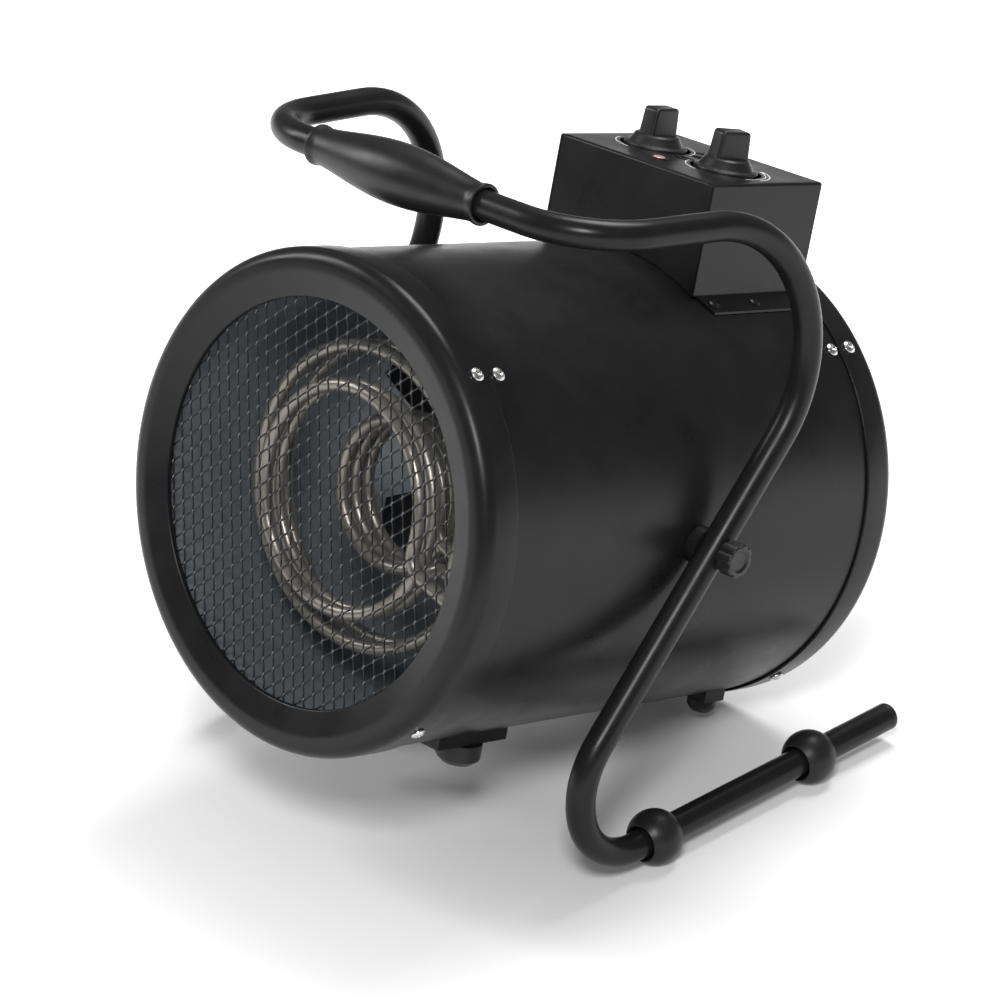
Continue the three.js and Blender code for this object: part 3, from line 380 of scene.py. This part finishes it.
def drum_ring(outline, sides=160, closed=True):
    """An outline of (radius, station along the axis) turned about the drum's axis."""
    points, faces = turned(outline, sides, closed)
    return in_drum(points[:, [0, 2, 1]]), faces


seam, rim_outer, rim_sheet, face = 161, 151.8, 1.5, 188
made("rolled_casing", drum_ring([[150, -167], [150, -seam], [150, 0], [150, seam], [150, 167],
                                 [148.8, 167], [148.8, 0], [148.8, -167]]),
     "drum", black_coat, "black_steel", "drum_casing")
lip = face - 4.6
rim_outline = rounded([[rim_outer, seam], [rim_outer, face], [138, face], [122.3, lip], [122.3, lip - 3],
                       [123.8, lip - 3], [123.8, lip - 1.5], [138, face - 1.5],
                       [rim_outer - rim_sheet, face - 1.5], [rim_outer - rim_sheet, seam]],
                      [0.9, 9, 14, 1.4, 0.3, 0.2, 0.2, 12, 7.5, 0.2], 9)
made("front_pressing", drum_ring(rim_outline * [1, -1], 192), "drum", black_coat, "black_steel", "front_rim")
made("rear_pressing", drum_ring(rim_outline, 192), "drum", black_coat, "black_steel", "rear_rim")

# Rim screws: zinc-plated pan heads with a cross recess, driven into a strip behind each
# rim's seam. Two strips above take a screw through casing and rim, two below through the rim.
strip_top = 147
strip = rounded([[-7, 0], [7, 0], [7, 1.5], [-7, 1.5]], 0.3, 3)
head = rounded([[0, 2.4], [2.6, 2.3], [4.4, 1.1], [4.4, 0], [2.3, 0], [2.3, -4]], [0, 3, 0.5, 0.15, 0, 0], 5, closed=False)
head_points, head_faces = turned(head, 72)
spoke = np.arctan2(head_points[:, 1], head_points[:, 0])
from_middle = np.hypot(head_points[:, 0], head_points[:, 1])
blade = np.minimum(np.abs(from_middle * np.sin(spoke)), np.abs(from_middle * np.cos(spoke)))
sunk = np.clip((0.75 - blade) / 0.3, 0, 1) * np.clip((2.4 - from_middle) / 0.3, 0, 1) * (head_points[:, 2] > 1)
head_points[:, 2] -= 1.3 * sunk
for end, turn_end, angles, body_place, rim_place, reach in [
    ("front", -1, [43.5, 134, 226, 316.5], 152, 171, 176), ("rear", 1, [43.5, 138, 222, 316.5], 154.5, 169.6, 174.6),
]:
    strip_patch = capped(swept([[0, 147, strip_top - 1.5], [0, reach, strip_top - 1.5]], strip[:, ::-1]), len(strip))
    for k, angle in enumerate(np.radians(angles)):
        body_head = head_points + [0, 0, 150.2]
        rim_head = head_points + [0, 0, rim_outer + 0.2]
        pair = joined(strip_patch, (rim_head + [0, rim_place, 0], head_faces))
        if np.cos(angle) > 0:
            pair = joined(pair, (body_head + [0, body_place, 0], head_faces))
        points = pair[0] * [1, turn_end, 1]
        x = points[:, 0] * np.cos(angle) + points[:, 2] * np.sin(angle)
        r = points[:, 2] * np.cos(angle) - points[:, 0] * np.sin(angle)
        made(f"{end}_screw_pair_{k + 1}", (in_drum(np.stack([x, points[:, 1], r], -1)), pair[1]),
             "drum", zinc, "zinc_steel", f"{end}_rim_screws_{k + 1}", crease=40)

# Mesh: black expanded steel behind the front rim's lip. Its thin strands cross in two
# directions, and each crossing is a small upright knot coloured lighter than the strands: a painted highlight where
# the knots catch the light.
mesh_steel = coated("mesh_steel", (0.004, 0.004, 0.005), (0.011, 0.011, 0.012), (0.30, 0.42),
                    1500, 0.00002, 90, Specular_IOR_Level=0.25)
# Knot colour: painted highlight, a light grey on the black knots where the light glints on them.
painted_glint_knot_finish = coated("mesh_knot_painted_highlight", (0.07, 0.07, 0.075), (0.20, 0.20, 0.21), (0.26, 0.38),
                    1500, 0.00002, 90, metallic=0.6)
mesh_pitch, mesh_reach, mesh_station = 8.6, 123.8, -179.5
leans = np.radians([-15, 50])
cell = mesh_pitch / np.sin(leans[1] - leans[0])
steps_along = np.stack([np.sin(leans), np.cos(leans)], -1) * cell
wire = np.array([[0.5, 0], [0.35, 0.8], [0, 1], [-0.35, 0.8], [-0.5, 0], [-0.35, -0.8], [0, -1], [0.35, -0.8]])
strand_patches = []
for own, other in [(0, 1), (1, 0)]:
    forward = steps_along[own] / cell
    across = np.array([forward[1], -forward[0]])
    for offset in np.arange(-14, 15) * mesh_pitch:
        half = np.sqrt(max((mesh_reach + 2) ** 2 - offset ** 2, 1))
        travel = np.linspace(-half, half, max(int(2 * half / (cell / 5)), 4))
        crossing = (travel - offset * (forward @ steps_along[other]) / (across @ steps_along[other])) / cell
        near_knot = np.abs(crossing - np.round(crossing))
        wide = 0.60 + 0.35 * np.clip(1 - near_knot / 0.2, 0, 1)
        lift = 0.22 * np.cos(2 * np.pi * crossing) * (1 if own else -1)
        middle = travel[:, None] * forward + offset * across
        path = np.stack([middle[:, 0], mesh_station + lift, middle[:, 1]], -1)
        strand_patches.append(swept(path, wire[None] * np.stack([np.full_like(wide, 0.8), wide], -1)[:, None], (0, 1, 0)))
band = drum_ring(rounded([[123.4, -180.1], [133.8, -180.1], [133.8, -178.9], [123.4, -178.9]], 0.3, 3), 128)
strands = joined(*strand_patches)
made("diamond_mesh", joined((in_drum(strands[0]), strands[1]), band), "drum", mesh_steel, "mesh_steel",
     "front_grille", crease=60)
i, j = np.meshgrid(np.arange(-20, 21), np.arange(-20, 21), indexing="ij")
spots = (i[..., None] * steps_along[0] + j[..., None] * steps_along[1]).reshape(-1, 2)
spots = spots[np.hypot(*spots.T) < mesh_reach - 1]
upright_knot = steps_along.sum(0) / np.linalg.norm(steps_along.sum(0))
beside = np.array([upright_knot[1], -upright_knot[0]])
lozenge = np.array([[0, 1.9, 0], [0.62, 0.9, 0], [0.62, -0.9, 0], [0, -1.9, 0], [-0.62, -0.9, 0], [-0.62, 0.9, 0],
                    [0, 0.9, -0.45], [0, -0.9, -0.45], [0, 0, 0.4]])
lozenge_faces = np.array([[0, 1, 6, 6], [1, 2, 7, 6], [2, 3, 7, 7], [3, 4, 7, 7], [4, 5, 6, 7], [5, 0, 6, 6],
                          [1, 0, 8, 8], [2, 1, 8, 8], [3, 2, 8, 8], [4, 3, 8, 8], [5, 4, 8, 8], [0, 5, 8, 8]])
flat = lozenge[:, :1] * beside + lozenge[:, 1:2] * upright_knot
knots = np.stack([spots[:, None, 0] + flat[None, :, 0], np.broadcast_to(mesh_station - 0.35 + lozenge[:, 2], (len(spots), 9)),
                  spots[:, None, 1] + flat[None, :, 1]], -1).reshape(-1, 3)
knot_faces = (lozenge_faces[None] + 9 * np.arange(len(spots))[:, None, None]).reshape(-1, 4)
made("mesh_knots", (in_drum(knots), knot_faces), "drum", painted_glint_knot_finish, "mesh_steel", "front_grille", crease=25)

# Liner: a bright duct of galvanised sheet inside the casing, hung from a flange near its
# front end. Its zinc shows a faint spangle.
galvanised = coated("galvanised_sheet", (0.20, 0.23, 0.26), (0.36, 0.40, 0.44), (0.32, 0.48),
                    2200, 0.00001, 160, metallic=0.5)
liner_mouth, liner_front, liner_rear, liner_outer = -178.3, -164, 41, 130
liner_outline = rounded([[129.2, liner_mouth], [liner_outer, liner_mouth], [liner_outer, liner_front], [148.5, liner_front],
                         [148.5, liner_front + 0.8], [liner_outer, liner_front + 0.8], [liner_outer, liner_rear],
                         [129.2, liner_rear]], [0.2, 0.2, 0.5, 0.2, 0.2, 0.7, 0.2, 0.2], 4)
made("duct_liner", drum_ring(liner_outline, 160), "drum", galvanised, "galvanised_steel", "inner_liner")
dress(galvanised, "element_bracket", "motor_mount", "switch_plate", "thermostat_body", "fan_motor")

# Heating elements: three steel tubes with a resistance wire inside, each wound as a coil,
# whose ends turn outwards and pass through the terminal plate at the near side.
sheath = coated("heater_sheath", (0.17, 0.16, 0.145), (0.42, 0.395, 0.35), (0.26, 0.42),
                320, 0.00012, 90, metallic=0.6)
bend, plate_x, tail, lean = 11, 110, 9, np.radians(16)
for name, radius, front, rear, turns in [("outer", 92, -146, -104, 2), ("middle", 69, -158, -135.5, 2),
                                         ("inner", 46, -114.5, -82, 3)]:
    notch = bend / radius
    share = np.linspace(0, 1, 72 * turns)
    angle = notch + (2 * np.pi * turns - 2 * notch) * share
    coil = np.stack([radius * np.cos(angle), front + (rear - front) * share, radius * np.sin(angle)], -1)
    corner = np.linspace(0, np.pi / 2, 9)[:-1]
    reach = radius + bend * (1 - np.sin(corner))
    swing = notch * (1 - np.cos(corner))
    leave = np.stack([reach * np.cos(swing), np.full(8, front), reach * np.sin(swing)], -1)
    enter = np.stack([reach * np.cos(swing), np.full(8, rear), -reach * np.sin(swing)], -1)[::-1]
    path = np.concatenate([[[plate_x + tail, front, 0]], leave, coil, enter, [[plate_x + tail, rear, 0]]])
    path = np.stack([path[:, 0] * np.cos(lean) + path[:, 2] * np.sin(lean), path[:, 1],
                     path[:, 2] * np.cos(lean) - path[:, 0] * np.sin(lean)], -1)
    points, faces = capped(swept(path, circle(4.25, 24), (0, 1, 0)), 24)
    made(f"{name}_coil", (in_drum(points), faces), "drum", sheath, "element_steel", f"{name}_element")

# Fan: a moulded five-bladed impeller on the motor's shaft. The motor hangs on three arms
# in the rear half of the drum, and a slotted steel plate guards the air intake.
dress(bare_plastic, "fan_impeller", "selector_switch", "cable_gland")
dress(zinc, "motor_shaft", "thermostat_spindle", "selector_spindle")
dress(mesh_steel, "rear_guard")

# Control box: a shell folded from black coated sheet, with holes for the knobs and lamp in
# its top, a front folded down to the drum, and a screwed flange along each side.
box_front, box_rear, box_half, box_top, box_sheet, box_seat = 55, 160, 65.5, 207.5, 1.2, 150.3
knob_station, knob_x, knob_hole, lamp_station = 106, 30, 23, 76


def folded(outer, inner, starts, ends, rows=2):
    """A strip of sheet between an outer and an inner line of equal count: each point runs
    straight from its start to its end, and quads from line to line close the two ends."""
    loop = np.concatenate([outer, inner[::-1]])
    start, end = np.concatenate([starts, starts[::-1]]), np.concatenate([ends, ends[::-1]])
    share = np.linspace(0, 1, rows)[:, None]
    station = start + (end - start) * share
    points = np.stack([np.broadcast_to(loop[:, 0], station.shape), station,
                       np.broadcast_to(loop[:, 1], station.shape)], -1).reshape(-1, 3)
    n = len(outer)
    k = np.arange(n - 1)
    cap = np.stack([k, k + 1, 2 * n - 2 - k, 2 * n - 1 - k], -1)
    return points, np.concatenate([grid(rows, 2 * n), cap, cap[:, ::-1] + (rows - 1) * 2 * n])


def holed(x_from, x_to, s_from, s_to, hole_x, hole_s, radius, top, sheet):
    """A flat panel with a round hole: for each angle a, the ray from the hole's middle meets
    the panel's edge at the least positive of the four distances to its sides."""
    corners = np.array([[x_from, s_from], [x_to, s_from], [x_to, s_to], [x_from, s_to]]) - [hole_x, hole_s]
    a = np.sort(np.concatenate([2 * np.pi * np.arange(96) / 96 - np.pi, np.arctan2(corners[:, 1], corners[:, 0])]))
    ray = np.stack([np.cos(a), np.sin(a)], -1)
    limit = np.where(ray > 0, [x_to - hole_x, s_to - hole_s], [x_from - hole_x, s_from - hole_s])
    far = np.min(limit / np.where(np.abs(ray) < 1e-9, np.sign(limit) * 1e-9, ray), axis=1)[:, None] * ray
    near = radius * ray
    layers = [(far, top), (near, top), (near, top - sheet), (far, top - sheet)]
    points = np.concatenate([np.column_stack([ring + [hole_x, hole_s], np.full(len(a), level)]) for ring, level in layers])
    return points, grid(4, len(a), along=True)


wall_out = rounded([[60, box_top], [box_half, box_top], [box_half, 136.9], [78.4, 129.8]], [0, 2.0, 1.4, 0], 6, closed=False)
wall_in = rounded([[60, box_top - 1.2], [box_half - 1.2, box_top - 1.2], [box_half - 1.2, 135.9], [78.4, 128.4]],
                  [0, 0.8, 0.3, 0], 6, closed=False)
past = np.clip((wall_out[:, 0] - box_half - 0.4) / 12.5, 0, 1)
wall_start = box_front + np.where(wall_out[:, 0] > box_half + 0.3, 3 + 5 * past, 0)
wall = folded(wall_out, wall_in, wall_start, np.full(len(wall_out), box_rear), 3)
far_wall = (wall[0] * [-1, 1, 1], wall[1][:, ::-1])
top_start = box_front + 2
panels = [holed(-60, 60, top_start, 82, 0, lamp_station, 5.3, box_top, box_sheet),
          holed(-60, 0, 82, box_rear, -knob_x, knob_station, knob_hole, box_top, box_sheet),
          holed(0, 60, 82, box_rear, knob_x, knob_station, knob_hole, box_top, box_sheet)]
shell = joined(wall, far_wall, *panels)
made("box_shell", (in_drum(shell[0]), shell[1]), "drum", black_coat, "black_steel", "control_box", crease=40)

front_half = box_half - 1.7
columns = np.linspace(-front_half, front_half, 41)
foot = np.sqrt((box_seat + 0.2) ** 2 - columns ** 2)
arc = np.linspace(0, np.pi / 2, 8)
face_out = np.stack([box_front + 2 - 2 * np.cos(arc), box_top - 2 + 2 * np.sin(arc)], -1)
face_in = np.stack([box_front + 2 - 0.8 * np.cos(arc), box_top - 2 + 0.8 * np.sin(arc)], -1)
face_loop = np.concatenate([[[box_front, 0]], face_out, face_in[::-1], [[box_front + box_sheet, 0]]])
station = np.broadcast_to(face_loop[:, 0], (41, len(face_loop)))
height = np.broadcast_to(face_loop[:, 1], station.shape).copy()
height[:, 0] = height[:, -1] = foot
front_points = np.stack([np.broadcast_to(columns[:, None], station.shape), station, height], -1).reshape(-1, 3)
half_loop = len(face_loop) // 2
k = np.arange(half_loop - 1)
front_cap = np.stack([k, k + 1, len(face_loop) - 2 - k, len(face_loop) - 1 - k], -1)
front_faces = np.concatenate([grid(41, len(face_loop)), front_cap, front_cap[:, ::-1] + 40 * len(face_loop)])
made("box_front_fold", (in_drum(front_points), front_faces), "drum", black_coat, "black_steel", "box_front", crease=40)
dress(black_coat, "box_rear")

black_screw = coated("blackened_screw", (0.006, 0.006, 0.006), (0.02, 0.02, 0.02), (0.3, 0.42), 2400, 0.00001, 300,
                     metallic=0.4)
flange_screws = []
for sign in (-1, 1):
    for place in (67.5, 107):
        small = head_points * [0.85, 0.85, 0.62] * [1, 1, 1]
        tilt = np.arcsin(72.2 / 151.6) * sign
        x = small[:, 0] * np.cos(tilt) + (small[:, 2] + 151.6) * np.sin(tilt)
        r = (small[:, 2] + 151.6) * np.cos(tilt) - small[:, 0] * np.sin(tilt)
        flange_screws.append((in_drum(np.stack([x, small[:, 1] + place, r], -1)), head_faces))
made("flange_screws", joined(*flange_screws), "drum", black_screw, "black_steel", "control_box", crease=40)

# Control knobs: black mouldings with a stepped skirt in a hole in the box's top and a
# straight bar with an arched top to grip. White scales are printed round them.
print_white = coated("printed_white", (0.62, 0.62, 0.60), (0.78, 0.78, 0.76), (0.5, 0.6), 1400, 0.00001, 120)
for name, sign, set_to in [("thermostat", 1, np.radians(-14)), ("selector", -1, 0.0)]:
    skirt = rounded([[0, 8.2], [12.6, 8.2], [14.4, 7.2], [17.6, 2.0], [20.5, 1.4], [20.5, -1.5], [0, -1.5]],
                    [0, 1.0, 1.2, 1.0, 0.8, 0.5, 0], 5, closed=False)
    skirt_patch = turned(skirt, 120)
    climb = np.concatenate([np.linspace(0, 1, 12), np.ones(6)])
    roll_in = np.concatenate([np.zeros(12), np.linspace(0, np.pi / 2, 7)[1:]])
    rings = []
    for share, inward in zip(climb, roll_in):
        inset = 1.8 * (1 - np.cos(inward))
        long, short = 13 - 2.0 * share - inset, 6.5 - 0.3 * share - inset
        outline = rounded([[-short, -long], [short, -long], [short, long], [-short, long]], max(2.4 - inset, 0.5), 6)
        level = 1 + (25.5 - 1.8) * share + 1.8 * np.sin(inward) - 2.6 * share * (outline[:, 1] / 13) ** 2
        rings.append(np.column_stack([outline, level]))
    bar_patch = capped((np.concatenate(rings), grid(18, len(outline))), len(outline))
    both = joined(skirt_patch, bar_patch)
    x = both[0][:, 0] * np.cos(set_to) - both[0][:, 1] * np.sin(set_to)
    s = both[0][:, 0] * np.sin(set_to) + both[0][:, 1] * np.cos(set_to)
    points = np.stack([x, s, both[0][:, 2]], -1) + [sign * knob_x, knob_station, box_top]
    made(f"{name}_handle", (in_drum(points), both[1]), name, bare_plastic, "black_plastic", f"{name}_knob", crease=40)
scales = []
for centre, radius, half_wide, start, end in [
    (knob_x, 25.6, 0.35, 195, 262), (knob_x, 25.6, 0.35, -20, 62), (knob_x, 28.2, 0.5, 2, 74), (knob_x, 27.0, 1.5, 62, 74),
    (-knob_x, 25.6, 0.35, 195, 268), (-knob_x, 25.6, 0.35, 10, 80),
]:
    a = np.radians(np.linspace(start, end, 40))
    line = np.stack([centre + radius * np.cos(a), knob_station + radius * np.sin(a), np.full(40, box_top + 0.02)], -1)
    stripe = np.array([[0.05, -half_wide], [0.05, half_wide], [-0.05, half_wide], [-0.05, -half_wide]])
    scales.append(capped(swept(line, stripe, (0, 0, 1)), 4))
scale_points, scale_faces = joined(*scales)
made("printed_scales", (in_drum(scale_points), scale_faces), "drum", print_white, "white_plastic", "control_box")

# Lamp: a low clear lens with a red tinge in a thin black ring, pushed into the box's top.
# The terminal block and the overheat cutout inside are white mouldings.
lens_plastic = coated("lamp_lens", (0.50, 0.16, 0.13), (0.62, 0.52, 0.49), (0.10, 0.20), 900, 0.00001, 140)
lens_outline = rounded([[0, 1.5], [3.2, 1.3], [4.2, 0.5], [4.3, -13.9], [0, -13.9]], [0, 2.0, 0.4, 0, 0], 5, closed=False)
ring_outline = rounded([[4.3, 0.9], [6, 0.9], [6, 0.05], [4.3, 0.05]], [0.2, 0.4, 0, 0], 4)
for name, patch, finish, slot in [("lamp_lens", turned(lens_outline, 48), lens_plastic, "lamp_lens"),
                                  ("lamp_ring", turned(ring_outline, 48, closed=True), bare_plastic, "black_plastic")]:
    made(name, (in_drum(patch[0] + [0, lamp_station, box_top]), patch[1]), "drum", finish, slot, "pilot_lamp", crease=40)
ceramic = coated("white_moulding", (0.55, 0.53, 0.49), (0.68, 0.66, 0.62), (0.45, 0.6), 1200, 0.00002, 90)
dress(ceramic, "terminal_block", "thermal_cutout")

# Drum feet: four moulded rubber feet on steel brackets welded under the casing.
dress(black_coat, *[f"{end}_foot_bracket_{side}" for end in ("front", "rear") for side in ("near", "far")])
for end, place, radius, rise in [("front", -78, 14, 14.2), ("rear", 150.2, 9.6, 9)]:
    foot_outline = rounded([[0, -rise], [0.66 * radius, -rise], [radius, 4 - rise], [radius, 0], [0, 0]],
                           [0, 2.2, 2.5, 0.4, 0], 6, closed=False)
    for side, sign in [("near", 1), ("far", -1)]:
        foot_points, foot_faces = turned(foot_outline, 64)
        made(f"{end}_foot_{side}", (in_drum(foot_points + [sign * 61.01, place, -140.33]), foot_faces), "drum",
             ball_rubber, "rubber", f"{end}_drum_foot_{side}", crease=40)
